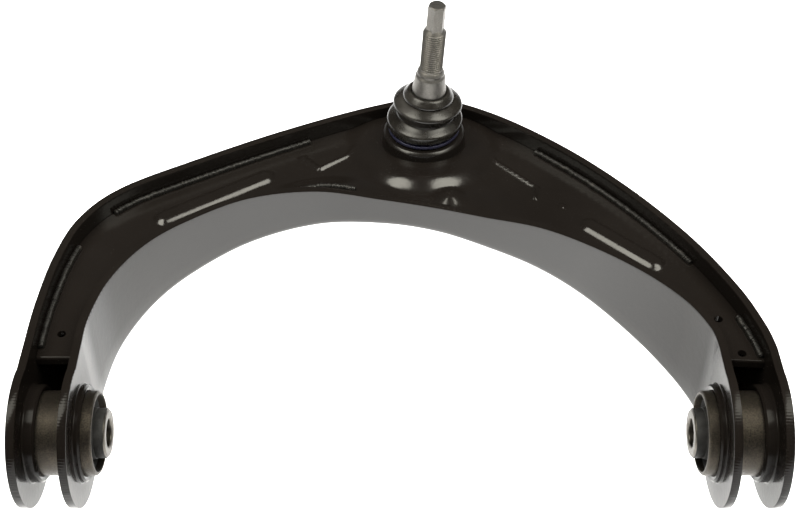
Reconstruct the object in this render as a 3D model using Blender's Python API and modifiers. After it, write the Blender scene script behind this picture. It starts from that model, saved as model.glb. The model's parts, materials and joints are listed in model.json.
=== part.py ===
"""Front suspension upper control arm, built as a bench assembly.

A pressed-steel wishbone: a U-shaped channel whose four ears carry two bonded
rubber bushings, a plate welded into the channel, and a pressed-in ball joint
with its dust boot.  Units are metres, +Z is up, X runs along the bushing axis
and +Y points from the bushings to the ball joint.  Helper functions take
places measured from the middle of the bushing axis and move them to the
model's origin, which is the bottom centre of the whole part.
"""
from math import acos, atan2, cos, degrees, hypot, pi, radians, sin, sqrt

import bmesh
import bpy
from mathutils import Matrix, Vector

# ---- clearances ------------------------------------------------------------
GAP = 0.0003                 # between pieces that touch, press or weld

# ---- channel and its ears --------------------------------------------------
PLATE = 0.0045               # channel stock
CORNER = 0.007               # outer radius between floor and walls
EAR_RADIUS = 0.040
EAR_SPAN = 0.4035            # over the outer faces of the outer ears
LEG_WIDTH = 0.031            # over one pair of ears
REACH = 0.247                # bushing axis to the rearmost rim
APEX_WIDTH = 0.091           # rim to arch crown, the pad for the ball joint
RIM_Z = 0.038                # rim above the bushing axis
ARCH_HALF = EAR_SPAN / 2 - LEG_WIDTH
ARCH_DEPTH = REACH - APEX_WIDTH
LEG_START = 0.75 * EAR_RADIUS    # where the legs leave the ears
ARCH_START_SHARE = 0.192         # SECTIONS shares that stand for LEG_START
RIM_START_SHARE = 0.1213

# One row for each place where the U section is set, from the left leg to the
# right leg: the arch wall's place as shares of ARCH_HALF and ARCH_DEPTH, the
# rim wall's as shares of EAR_SPAN / 2 and REACH, then the floor, the arch
# wall's top and the rim wall's top above the bushing axis.  Along Y a share of
# 1 is the full depth and the start share is LEG_START.
SECTIONS = (
    (-1.000, 0.192, -1.000, 0.121, -0.0325, RIM_Z, RIM_Z),
    (-0.996, 0.320, -0.998, 0.243, -0.0275, RIM_Z, RIM_Z),
    (-0.955, 0.506, -0.981, 0.393, -0.0212, RIM_Z, RIM_Z),
    (-0.861, 0.686, -0.937, 0.526, -0.0150, RIM_Z, RIM_Z),
    (-0.726, 0.820, -0.833, 0.636, -0.0080, RIM_Z, RIM_Z),
    (-0.527, 0.945, -0.620, 0.745, -0.0010, RIM_Z, RIM_Z),
    (-0.293, 1.000, -0.357, 0.862, 0.0055, 0.0360, RIM_Z),
    (-0.070, 0.984, -0.079, 0.968, 0.0085, 0.0318, 0.0370),
    (0.117, 0.939, 0.099, 1.000, 0.0090, 0.0315, 0.0370),
    (0.293, 0.875, 0.287, 0.939, 0.0055, 0.0328, 0.0370),
    (0.480, 0.788, 0.496, 0.802, 0.0003, 0.0368, RIM_Z),
    (0.644, 0.680, 0.679, 0.642, -0.0078, RIM_Z, RIM_Z),
    (0.808, 0.542, 0.833, 0.466, -0.0206, RIM_Z, RIM_Z),
    (0.926, 0.400, 0.937, 0.300, -0.0300, RIM_Z, RIM_Z),
    (0.987, 0.269, 0.985, 0.182, -0.0335, RIM_Z, RIM_Z),
    (1.000, 0.180, 1.000, 0.113, -0.0345, RIM_Z, RIM_Z),
)
STEPS = 3                    # lofted sections between two rows

# ---- top plate -------------------------------------------------------------
TOP_STOCK = 0.0035
TOP_RECESS = 0.011           # top face below the leg rims
TOP_ACROSS = 8               # facets across the plate
RIB_HEIGHT = 0.0022
RIB_WIDTH = 0.0075
# Pressed ribs: two ends of each, as (row of SECTIONS, share across) pairs.
RIBS = (((4.05, 0.42), (5.55, 0.56)), ((10.75, 0.40), (11.85, 0.44)))
LOCATING_HOLE = 0.0024
# Locating holes, as (row, share across) pairs.
HOLES = ((0.75, 0.50), (13.35, 0.46), (14.55, 0.50))

# ---- welds between the top plate and the channel walls ----------------------
WELD_RADIUS = 0.0026
# name, first row, last row, which wall
WELDS = (
    ("weld_rim_left_leg", 0.35, 2.60, "rim"),
    ("weld_rim_left", 3.75, 6.20, "rim"),
    ("weld_arch_left", 5.45, 6.55, "arch"),
    ("weld_arch_right", 9.45, 13.20, "arch"),
    ("weld_rim_right", 9.75, 12.20, "rim"),
    ("weld_rim_right_leg", 13.40, 14.70, "rim"),
)

# ---- bushings --------------------------------------------------------------
CAN_RADIUS = 0.0228
CAN_WALL = 0.0020
CAN_STANDOUT = 0.0090        # past the inner ear, towards the arch
SLEEVE_RADIUS = 0.0130
SLEEVE_BORE = 0.00775
SLEEVE_STANDOUT = 0.0052     # past each end of the can
COLLAR_WALL = 0.0032         # extruded collars round the ear bores
COLLAR_ARCH = 0.0035         # collar on the inner ear
COLLAR_GAP_SIDE = 0.0065     # collar on the outer ear

# ---- ball joint ------------------------------------------------------------
BALL_X = 0.015               # off the middle, towards the right leg
BALL_INSET = 0.037           # ball centre in from the rearmost rim
BALL_Z = 0.030
BALL_RADIUS = 0.0135
NECK_RADIUS = 0.0075
LEAN = radians(3.75)         # rest lean of the stud about Y
RACE_WALL = 0.0037
RACE_TOP = 0.0068            # top of the upper race, above the ball centre
HOUSING_WALL = 0.0042
FLANGE_RADIUS = 0.0264
FLANGE_TOP = 0.0110          # above the ball centre
MOUTH_TOP = 0.0145
HOUSING_BOTTOM = -0.0300
GROOVE_DEPTH = 0.0015        # groove of the retaining ring
CLIP_Z = -0.0254
CLIP_THICK = 0.0014
CLIP_WIDTH = 0.0036
CAP_THICK = 0.0024
CAP_LIP = 0.0060               # housing edge below the cap
SPRING_DISC = 0.0012

# ---- stud ------------------------------------------------------------------
SEAT_BASE = 0.0425           # heights along the stud from the ball centre
SEAT_TOP = 0.0530
COLLAR_TOP = 0.0580
THREAD_TOP = 0.0850
TIP_TOP = 0.1032
SEAT_RADIUS = 0.0105
SEAT_TOP_RADIUS = 0.0091
STUD_COLLAR_RADIUS = 0.0083
THREAD_RADIUS = 0.0070
THREAD_PITCH = 0.0015
THREAD_DEPTH = 0.0008
HEX_ACROSS_FLATS = 0.0097
HEX_TURN = radians(-17)

# ---- dust boot -------------------------------------------------------------
BOOT_WALL = 0.0016
BOOT_LOWER = 0.0235          # outer radii of the two folds and the waist
BOOT_UPPER = 0.0213
BOOT_WAIST = 0.0180
BEAD_HEIGHT = 0.0033
RING_WALL = 0.0014
BOOT_COLLAR_BASE = 0.0372    # along the stud
BOOT_COLLAR_TOP = 0.0420
BOOT_COLLAR_RADIUS = 0.0157

# ---- places worked out from the values above -------------------------------
ORIGIN = Vector((0.0, -(REACH - EAR_RADIUS) / 2, EAR_RADIUS))
BALL_CENTRE = Vector((BALL_X, REACH - BALL_INSET, BALL_Z)) + ORIGIN
TOP_Z = RIM_Z - TOP_RECESS
CAN_LENGTH = LEG_WIDTH + CAN_STANDOUT
CAN_MIDDLE = EAR_SPAN / 2 - CAN_LENGTH / 2
SLEEVE_LENGTH = CAN_LENGTH + 2 * SLEEVE_STANDOUT
RACE_BORE = BALL_RADIUS + GAP
RACE_RADIUS = RACE_BORE + RACE_WALL
HOUSING_BORE = RACE_RADIUS + GAP
HOUSING_RADIUS = HOUSING_BORE + HOUSING_WALL
BEAD_BORE = HOUSING_RADIUS - 0.0030


# ---- shared helpers --------------------------------------------------------
def clear_scene():
    """Remove every object that the file opened with."""
    for item in list(bpy.data.objects):
        bpy.data.objects.remove(item, do_unlink=True)


def collection(name):
    """Return a new collection linked to the scene."""
    group = bpy.data.collections.new(name)
    bpy.context.scene.collection.children.link(group)
    return group


def finish(name, colour, roughness, metallic):
    """Return a Principled material."""
    made = bpy.data.materials.new(name)
    made.use_nodes = True
    shader = made.node_tree.nodes["Principled BSDF"]
    shader.inputs["Base Color"].default_value = (*colour, 1.0)
    shader.inputs["Roughness"].default_value = roughness
    shader.inputs["Metallic"].default_value = metallic
    return made


def place(mesh, name, material, group):
    """Put a mesh in the scene as a named object with one material."""
    made = bpy.data.objects.new(name, mesh)
    made.data.materials.append(material)
    group.objects.link(made)
    return made


def as_cutter(item):
    """Mark an object as a shape that only cuts or joins others."""
    item.hide_render = True
    item.display_type = "WIRE"
    return item


def boolean(item, tool, operation):
    """Join a tool to an object, or cut it away."""
    step = item.modifiers.new(operation.title() + " " + tool.name, "BOOLEAN")
    step.object = tool
    step.operation = operation
    step.solver = "EXACT"


def shade(item, angle=35):
    """Shade smooth, with edges sharper than the angle kept sharp."""
    item.data.shade_smooth()
    item.data.set_sharp_from_angle(angle=radians(angle))


def turned(name, profile, material, group, segments=32):
    """Spin a closed (radius, height) profile about Z.

    The profile runs down the outer side and back up the inner side.  One
    whose two ends lie on the axis is left open there.
    """
    mesh = bpy.data.meshes.new(name)
    work = bmesh.new()
    corners = [work.verts.new((radius, 0.0, height)) for radius, height in profile]
    for first, second in zip(corners, corners[1:]):
        work.edges.new((first, second))
    if profile[0][0] > 0.0:
        work.edges.new((corners[-1], corners[0]))
    work.to_mesh(mesh)
    work.free()
    made = place(mesh, name, material, group)
    spin = made.modifiers.new("Spin", "SCREW")
    spin.steps = segments
    spin.render_steps = segments
    spin.use_merge_vertices = True
    spin.merge_threshold = 0.00001
    return made


def settle(item):
    """Replace an object's modifiers with the mesh they make."""
    graph = bpy.context.evaluated_depsgraph_get()
    made = bpy.data.meshes.new_from_object(item.evaluated_get(graph))
    item.modifiers.clear()
    item.data = made


def rod(name, radius, length, material, group, sides=48):
    """Return a closed cylinder along Z, centred on its origin."""
    mesh = bpy.data.meshes.new(name)
    work = bmesh.new()
    bmesh.ops.create_cone(work, cap_ends=True, segments=sides, radius1=radius,
                          radius2=radius, depth=length)
    work.to_mesh(mesh)
    work.free()
    return place(mesh, name, material, group)


def arc(radius, start, end, steps):
    """Return (radius, height) points on a circle about the origin."""
    turns = [radians(start + (end - start) * i / steps) for i in range(steps + 1)]
    return [(radius * cos(turn), radius * sin(turn)) for turn in turns]


def ease(value):
    """Ease a value from 0 to 1."""
    share = min(max(value, 0.0), 1.0)
    return share * share * (3.0 - 2.0 * share)


# ---- the channel's sections ------------------------------------------------
def section(row):
    """Return a smooth in-between of SECTIONS at a fractional row."""
    last = len(SECTIONS) - 1
    index = min(int(row), last - 1)
    share = row - index
    around = [SECTIONS[min(max(index + step, 0), last)] for step in (-1, 0, 1, 2)]
    blended = []
    for before, start, end, after in zip(*around):
        slope = 2 * before - 5 * start + 4 * end - after
        bend = 3 * (start - end) + after - before
        blended.append(start + 0.5 * share * (end - before + share * (slope + share * bend)))
    return blended


def walls(row):
    """Return the arch wall's and the rim wall's outside places at a row."""
    values = section(row)
    arch_y = along_leg(values[1], ARCH_START_SHARE, ARCH_DEPTH)
    rim_y = along_leg(values[3], RIM_START_SHARE, REACH)
    arch = Vector((values[0] * ARCH_HALF, arch_y))
    rim = Vector((values[2] * EAR_SPAN / 2, rim_y))
    return arch, rim


def along_leg(share, start_share, depth):
    """Return a wall's y at a share of the way, keeping the legs clear of the ears."""
    return LEG_START + (share - start_share) / (1.0 - start_share) * (depth - LEG_START)


def inward(row, wall):
    """Return the unit normal of a wall in plan, pointing into the channel."""
    last = len(SECTIONS) - 1
    side = 0 if wall == "arch" else 1
    ahead = walls(min(row + 0.05, last))[side]
    behind = walls(max(row - 0.05, 0.0))[side]
    along = (ahead - behind).normalized()
    turn = 1.0 if wall == "arch" else -1.0
    return Vector((-along.y, along.x)) * turn


def inside(row, wall, depth):
    """Return a place in plan at a depth inside a wall's outer face."""
    side = 0 if wall == "arch" else 1
    return walls(row)[side] + inward(row, wall) * depth


def section_rows():
    """Return the fractional rows of the lofted sections."""
    count = (len(SECTIONS) - 1) * STEPS
    return [step / STEPS for step in range(count + 1)]


def ear_sections(end):
    """Return (y, low, high) from an ear's nose to the first or last section."""
    row = 0.0 if end < 0 else float(len(SECTIONS) - 1)
    arch = walls(row)[0]
    floor = section(row)[4]
    distance = hypot(arch.y, floor)
    tangent = acos(EAR_RADIUS / distance) + atan2(-floor, arch.y) - pi / 2
    noses = [radians(turn) for turn in (3, 12, 22, 33, 44, 56, 68, 79)]
    along = [-EAR_RADIUS * cos(turn) for turn in noses]
    along += [EAR_RADIUS * sin(-tangent * share) for share in (0.0, 0.34, 0.67, 1.0)]
    found = []
    for y in along:
        half = sqrt(EAR_RADIUS ** 2 - y ** 2)
        high = max(half, RIM_Z) if y > 0.0 else half
        found.append((y, -half, high))
    return found


def wall_column(work, foot, low, high, across, corner):
    """Add one wall's points at a section, from its top to the floor."""
    column = [work.verts.new((foot.x, foot.y, high))]
    for turn in (0, 30, 60, 90):
        angle = radians(turn)
        shift = across * (corner * (1.0 - cos(angle)))
        height = low + CORNER * (1.0 - sin(angle))
        column.append(work.verts.new((foot.x + shift.x, foot.y + shift.y, height)))
    return column


def channel_skin():
    """Return the outside skin of the channel as an open surface."""
    work = bmesh.new()
    across_ear = Vector((-1.0, 0.0))
    stations = []
    for y, low, high in ear_sections(-1):
        arch = wall_column(work, Vector((-ARCH_HALF, y)), low, high, across_ear, 0.0)
        rim = wall_column(work, Vector((-EAR_SPAN / 2, y)), low, high, -across_ear, 0.0)
        stations.append((arch, rim, False))
    for row in section_rows():
        values = section(row)
        arch, rim = walls(row)
        across = (rim - arch).normalized()
        low = values[4]
        left = wall_column(work, arch, low, values[5], across, CORNER)
        right = wall_column(work, rim, low, values[6], -across, CORNER)
        stations.append((left, right, True))
    for y, low, high in reversed(ear_sections(1)):
        arch = wall_column(work, Vector((ARCH_HALF, y)), low, high, -across_ear, 0.0)
        rim = wall_column(work, Vector((EAR_SPAN / 2, y)), low, high, across_ear, 0.0)
        stations.append((arch, rim, False))
    for here, there in zip(stations, stations[1:]):
        for step in range(len(here[0]) - 1):
            work.faces.new((here[0][step], here[0][step + 1], there[0][step + 1], there[0][step]))
            work.faces.new((here[1][step + 1], here[1][step], there[1][step], there[1][step + 1]))
        if here[2] and there[2]:
            work.faces.new((here[0][-1], here[1][-1], there[1][-1], there[0][-1]))
    for vertex in work.verts:
        vertex.co += ORIGIN
    bmesh.ops.recalc_face_normals(work, faces=work.faces)
    mesh = bpy.data.meshes.new("channel")
    work.to_mesh(mesh)
    work.free()
    return mesh


def bushing_places():
    """Return (name, side) for the two bushings."""
    return (("left", -1.0), ("right", 1.0))


def build_channel(paint, group, cutters):
    """Make the channel: lofted skin, ear collars, bushing and ball-joint bores."""
    channel = place(channel_skin(), "channel", paint, group)
    thicken = channel.modifiers.new("Stock", "SOLIDIFY")
    thicken.thickness = PLATE
    thicken.offset = -1.0
    thicken.use_even_offset = True
    collar_radius = CAN_RADIUS + GAP + COLLAR_WALL
    for name, side in bushing_places():
        inner_end = ARCH_HALF - COLLAR_ARCH
        inner_length = COLLAR_ARCH + PLATE / 2
        outer_start = EAR_SPAN / 2 - PLATE - COLLAR_GAP_SIDE
        outer_length = COLLAR_GAP_SIDE + PLATE / 2
        spans = (("arch", inner_end, inner_length), ("gap", outer_start, outer_length))
        for place_name, start, length in spans:
            title = name + "_collar_" + place_name
            collar = as_cutter(rod(title, collar_radius, length, paint, cutters))
            collar.location = ORIGIN + Vector((side * (start + length / 2), 0.0, 0.0))
            collar.rotation_euler = (0.0, pi / 2, 0.0)
            boolean(channel, collar, "UNION")
        bore = as_cutter(rod(name + "_bore", CAN_RADIUS + GAP, EAR_SPAN / 4, paint, cutters))
        bore.location = ORIGIN + Vector((side * EAR_SPAN / 2, 0.0, 0.0))
        bore.rotation_euler = (0.0, pi / 2, 0.0)
        boolean(channel, bore, "DIFFERENCE")
    seat = as_cutter(rod("floor_bore", HOUSING_RADIUS + GAP, EAR_RADIUS, paint, cutters))
    seat.location = BALL_CENTRE - Vector((0.0, 0.0, BALL_RADIUS / 2 + EAR_RADIUS / 2))
    boolean(channel, seat, "DIFFERENCE")
    return channel


# ---- top plate and welds ---------------------------------------------------
def rib_lift(place_in_plan):
    """Return how far the pressed ribs lift the plate at a place in plan."""
    lift = 0.0
    for ends in RIBS:
        start, end = [share_place(row, share) for row, share in ends]
        along = end - start
        share = (place_in_plan - start).dot(along) / along.length_squared
        nearest = start + along * min(max(share, 0.0), 1.0)
        distance = (place_in_plan - nearest).length
        lift = max(lift, RIB_HEIGHT * ease(1.4 * (1.0 - distance / RIB_WIDTH)))
    return lift


def share_place(row, share):
    """Return a place in plan on the plate, from the arch side to the rim side."""
    edge = PLATE + GAP
    arch = inside(row, "arch", edge)
    rim = inside(row, "rim", edge)
    return arch.lerp(rim, share)


def plate_height(row, share, spot):
    """Return the plate's top face above the bushing axis."""
    crown = section(row)[5] - 0.001
    centre = (len(SECTIONS) - 1) / 2
    reach = 1.0 - ease((abs(row - centre) - 1.2) / 1.2)
    flat = ease(((spot - Vector((BALL_X, REACH - BALL_INSET))).length - 0.031) / 0.016)
    rise = (crown - TOP_Z) * (1.0 - ease(share / 0.42)) * reach * flat
    return TOP_Z + rise + rib_lift(spot)


def build_top_plate(paint, group, cutters):
    """Make the plate that closes the channel, a little below its rims."""
    work = bmesh.new()
    grid = []
    for row in section_rows():
        line = []
        for column in range(TOP_ACROSS + 1):
            share = column / TOP_ACROSS
            spot = share_place(row, share)
            height = plate_height(row, share, spot)
            line.append(work.verts.new(Vector((spot.x, spot.y, height)) + ORIGIN))
        grid.append(line)
    for here, there in zip(grid, grid[1:]):
        for column in range(TOP_ACROSS):
            corners = (here[column], here[column + 1], there[column + 1], there[column])
            work.faces.new(corners)
    made = bmesh.ops.extrude_face_region(work, geom=work.faces[:], use_keep_orig=True)
    lowered = [item for item in made["geom"] if isinstance(item, bmesh.types.BMVert)]
    bmesh.ops.translate(work, verts=lowered, vec=(0.0, 0.0, -TOP_STOCK))
    bmesh.ops.recalc_face_normals(work, faces=work.faces)
    mesh = bpy.data.meshes.new("top_plate")
    work.to_mesh(mesh)
    work.free()
    top = place(mesh, "top_plate", paint, group)
    bore = as_cutter(rod("plate_bore", HOUSING_RADIUS + GAP, 0.030, paint, cutters))
    bore.location = BALL_CENTRE
    boolean(top, bore, "DIFFERENCE")
    for index, (row, share) in enumerate(HOLES):
        spot = share_place(row, share)
        tool = rod(f"locating_hole_{index}", LOCATING_HOLE, 0.020, paint, cutters, 16)
        tool.location = Vector((spot.x, spot.y, TOP_Z)) + ORIGIN
        boolean(top, as_cutter(tool), "DIFFERENCE")
    return top


def build_weld(title, first, last, wall, paint, group):
    """Lay one weld bead along the corner of the top plate and a wall."""
    curve = bpy.data.curves.new(title, "CURVE")
    curve.dimensions = "3D"
    curve.bevel_depth = WELD_RADIUS
    curve.bevel_resolution = 1
    curve.use_fill_caps = True
    line = curve.splines.new("POLY")
    count = max(4, int((last - first) * 3))
    line.points.add(count)
    clear = GAP + WELD_RADIUS
    for index in range(count + 1):
        row = first + (last - first) * index / count
        spot = inside(row, wall, PLATE + clear)
        share = 0.0 if wall == "arch" else 1.0
        height = max(plate_height(row, share, spot), TOP_Z) + clear + GAP
        if wall == "arch":
            height = max(height, plate_height(row, 0.12, spot) + clear + GAP)
        line.points[index].co = (*(Vector((spot.x, spot.y, height)) + ORIGIN), 1.0)
    bead = bpy.data.objects.new(title, curve)
    bead.data.materials.append(paint)
    group.objects.link(bead)
    bpy.context.view_layer.update()
    graph = bpy.context.evaluated_depsgraph_get()
    mesh = bpy.data.meshes.new_from_object(bead.evaluated_get(graph))
    bpy.data.objects.remove(bead, do_unlink=True)
    work = bmesh.new()
    work.from_mesh(mesh)
    bmesh.ops.remove_doubles(work, verts=work.verts, dist=0.00001)
    work.to_mesh(mesh)
    work.free()
    return place(mesh, title, paint, group)


# ---- bushings --------------------------------------------------------------
def build_bushing(name, side, finishes, group):
    """Make one bonded bushing: outer can, rubber and inner sleeve."""
    half = CAN_LENGTH / 2
    inner = CAN_RADIUS - CAN_WALL
    lip = CAN_WALL / 2
    can = turned(name + "_bushing_can", (
        (CAN_RADIUS - lip, half), (CAN_RADIUS, half - lip), (CAN_RADIUS, -half + lip),
        (CAN_RADIUS - lip, -half), (inner, -half), (inner, half)),
        finishes["can"], group)
    outer = inner - GAP
    core = SLEEVE_RADIUS + GAP
    dish = half - 0.0030
    valley = half - 0.0075
    shoulder = half - 0.0010
    rubber = turned(name + "_bushing_rubber", (
        (outer, dish), (outer, -dish), (outer - 0.0030, -valley), (core + 0.0020, -valley),
        (core, -shoulder), (core, shoulder), (core + 0.0020, valley), (outer - 0.0030, valley)),
        finishes["rubber"], group)
    end = SLEEVE_LENGTH / 2
    ease_off = 0.0008
    sleeve = turned(name + "_inner_sleeve", (
        (SLEEVE_RADIUS - ease_off, end), (SLEEVE_RADIUS, end - ease_off),
        (SLEEVE_RADIUS, -end + ease_off), (SLEEVE_RADIUS - ease_off, -end),
        (SLEEVE_BORE + ease_off, -end), (SLEEVE_BORE, -end + ease_off),
        (SLEEVE_BORE, end - ease_off), (SLEEVE_BORE + ease_off, end)),
        finishes["sleeve"], group)
    for item in (can, rubber, sleeve):
        item.location = ORIGIN + Vector((side * CAN_MIDDLE, 0.0, 0.0))
        item.rotation_euler = (0.0, pi / 2, 0.0)


# ---- ball joint ------------------------------------------------------------
def build_housing(finishes, group):
    """Make the pressed-in housing with what it holds below the ball."""
    rim = 0.0016
    base = TOP_Z - BALL_Z + GAP
    neck = BEAD_BORE - GAP
    mouth = RACE_BORE * 0.905
    housing = turned("ball_housing", (
        (neck, MOUTH_TOP), (neck, FLANGE_TOP), (FLANGE_RADIUS - rim - 0.001, FLANGE_TOP),
        (FLANGE_RADIUS - 0.001, FLANGE_TOP - rim), (FLANGE_RADIUS, base + rim),
        (FLANGE_RADIUS - rim / 2, base), (HOUSING_RADIUS, base),
        (HOUSING_RADIUS, CLIP_Z + CLIP_THICK / 2 + GAP),
        (HOUSING_RADIUS - GROOVE_DEPTH, CLIP_Z + CLIP_THICK / 2 + GAP),
        (HOUSING_RADIUS - GROOVE_DEPTH, CLIP_Z - CLIP_THICK / 2 - GAP),
        (HOUSING_RADIUS, CLIP_Z - CLIP_THICK / 2 - GAP),
        (HOUSING_RADIUS, HOUSING_BOTTOM + 0.001), (HOUSING_RADIUS - 0.001, HOUSING_BOTTOM),
        (HOUSING_BORE, HOUSING_BOTTOM), (HOUSING_BORE, RACE_TOP + GAP),
        (mouth, RACE_TOP + GAP), (neck - 0.0030, MOUTH_TOP)),
        finishes["housing"], group, 40)
    upper = [(RACE_RADIUS, RACE_TOP), (RACE_RADIUS, GAP)]
    upper += arc(RACE_BORE, 1.0, 27.0, 3)
    upper += [(mouth, RACE_TOP)]
    upper_race = turned("upper_race", upper, finishes["race"], group)
    race_bottom = -BALL_RADIUS * 0.98
    lower = [(RACE_RADIUS, -GAP), (RACE_RADIUS, race_bottom), (RACE_BORE * 0.46, race_bottom)]
    lower += arc(RACE_BORE, -62.0, -1.0, 6)
    lower_race = turned("lower_race", lower, finishes["race"], group)
    cap_top = HOUSING_BOTTOM + CAP_LIP + CAP_THICK
    cap = turned("housing_cap", (
        (0.0, cap_top), (HOUSING_BORE - GAP, cap_top),
        (HOUSING_BORE - GAP, cap_top - CAP_THICK), (0.0, cap_top - CAP_THICK)),
        finishes["plated"], group)
    high = race_bottom - GAP
    low = cap_top + GAP
    disc = SPRING_DISC
    outer = HOUSING_BORE - 2 * GAP
    hole = outer * 0.42
    spring = turned("preload_spring", (
        (outer, low + disc), (outer, low), (outer - 0.001, low), (hole, high - disc),
        (hole, high), (hole + 0.001, high)),
        finishes["plated"], group)
    pieces = [housing, upper_race, lower_race, cap, spring]
    for item in pieces:
        item.location = BALL_CENTRE


def build_clip(finishes, group, cutters):
    """Make the split ring that keeps the housing in the arm."""
    inner = HOUSING_RADIUS - GROOVE_DEPTH + GAP
    half = CLIP_THICK / 2
    clip = turned("retaining_ring", (
        (inner + CLIP_WIDTH, half), (inner + CLIP_WIDTH, -half), (inner, -half), (inner, half)),
        finishes["plated"], group)
    clip.location = BALL_CENTRE + Vector((0.0, 0.0, CLIP_Z))
    mesh = bpy.data.meshes.new("ring_gap")
    work = bmesh.new()
    bmesh.ops.create_cube(work, size=1.0)
    bmesh.ops.scale(work, verts=work.verts, vec=(0.006, 2 * CLIP_WIDTH, 0.006))
    work.to_mesh(mesh)
    work.free()
    gap = as_cutter(place(mesh, "ring_gap", finishes["plated"], cutters))
    gap.location = clip.location + Vector((0.0, -inner - CLIP_WIDTH / 2, 0.0))
    boolean(clip, gap, "DIFFERENCE")


def build_ball_stud(finishes, group, cutters, joint):
    """Make the ball stud: ball, neck, tapered seat, collar, thread and hex tip."""
    thread_base = COLLAR_TOP + 0.001
    turns = int((THREAD_TOP - thread_base - 0.001) / THREAD_PITCH)
    root = THREAD_RADIUS - THREAD_DEPTH
    tip_radius = HEX_ACROSS_FLATS / sqrt(3.0)
    profile = [(0.0, TIP_TOP - 0.010), (tip_radius - 0.0012, TIP_TOP - 0.010)]
    profile += [(tip_radius - 0.0012, THREAD_TOP), (root, THREAD_TOP)]
    for turn in range(turns, 0, -1):
        height = thread_base + turn * THREAD_PITCH
        profile += [(THREAD_RADIUS, height - THREAD_PITCH / 2), (root, height - THREAD_PITCH)]
    profile += [
        (STUD_COLLAR_RADIUS - 0.001, COLLAR_TOP), (STUD_COLLAR_RADIUS, COLLAR_TOP - 0.001),
        (STUD_COLLAR_RADIUS, SEAT_TOP + 0.001), (SEAT_TOP_RADIUS, SEAT_TOP),
        (SEAT_RADIUS, SEAT_BASE), (SEAT_RADIUS, SEAT_BASE - 0.0065),
        (NECK_RADIUS + 0.0005, SEAT_BASE - 0.0110), (NECK_RADIUS, SEAT_BASE - 0.0160)]
    profile += arc(BALL_RADIUS, degrees(acos(NECK_RADIUS / BALL_RADIUS)), -82.0, 11)
    profile += [(0.0, -BALL_RADIUS * sin(radians(82.0)))]
    stud = turned("ball_stud", profile, finishes["stud"], group)
    stud.parent = joint
    mesh = bpy.data.meshes.new("hex_tip")
    work = bmesh.new()
    length = TIP_TOP - THREAD_TOP + 0.002
    chamfer = 0.0009
    bmesh.ops.create_cone(work, cap_ends=True, segments=6, radius1=tip_radius,
                          radius2=tip_radius, depth=length - chamfer)
    top = [face for face in work.faces if face.normal.z > 0.9]
    made = bmesh.ops.extrude_face_region(work, geom=top)
    risen = [item for item in made["geom"] if isinstance(item, bmesh.types.BMVert)]
    bmesh.ops.delete(work, geom=top, context="FACES")
    bmesh.ops.translate(work, verts=risen, vec=(0.0, 0.0, chamfer))
    bmesh.ops.scale(work, verts=risen, vec=(0.84, 0.84, 1.0))
    bmesh.ops.rotate(work, verts=work.verts, matrix=Matrix.Rotation(HEX_TURN, 3, "Z"))
    middle = TIP_TOP - chamfer - (length - chamfer) / 2
    bmesh.ops.translate(work, verts=work.verts, vec=(0.0, 0.0, middle))
    work.to_mesh(mesh)
    work.free()
    tip = as_cutter(place(mesh, "hex_tip", finishes["stud"], cutters))
    tip.parent = joint
    boolean(stud, tip, "UNION")


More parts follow.
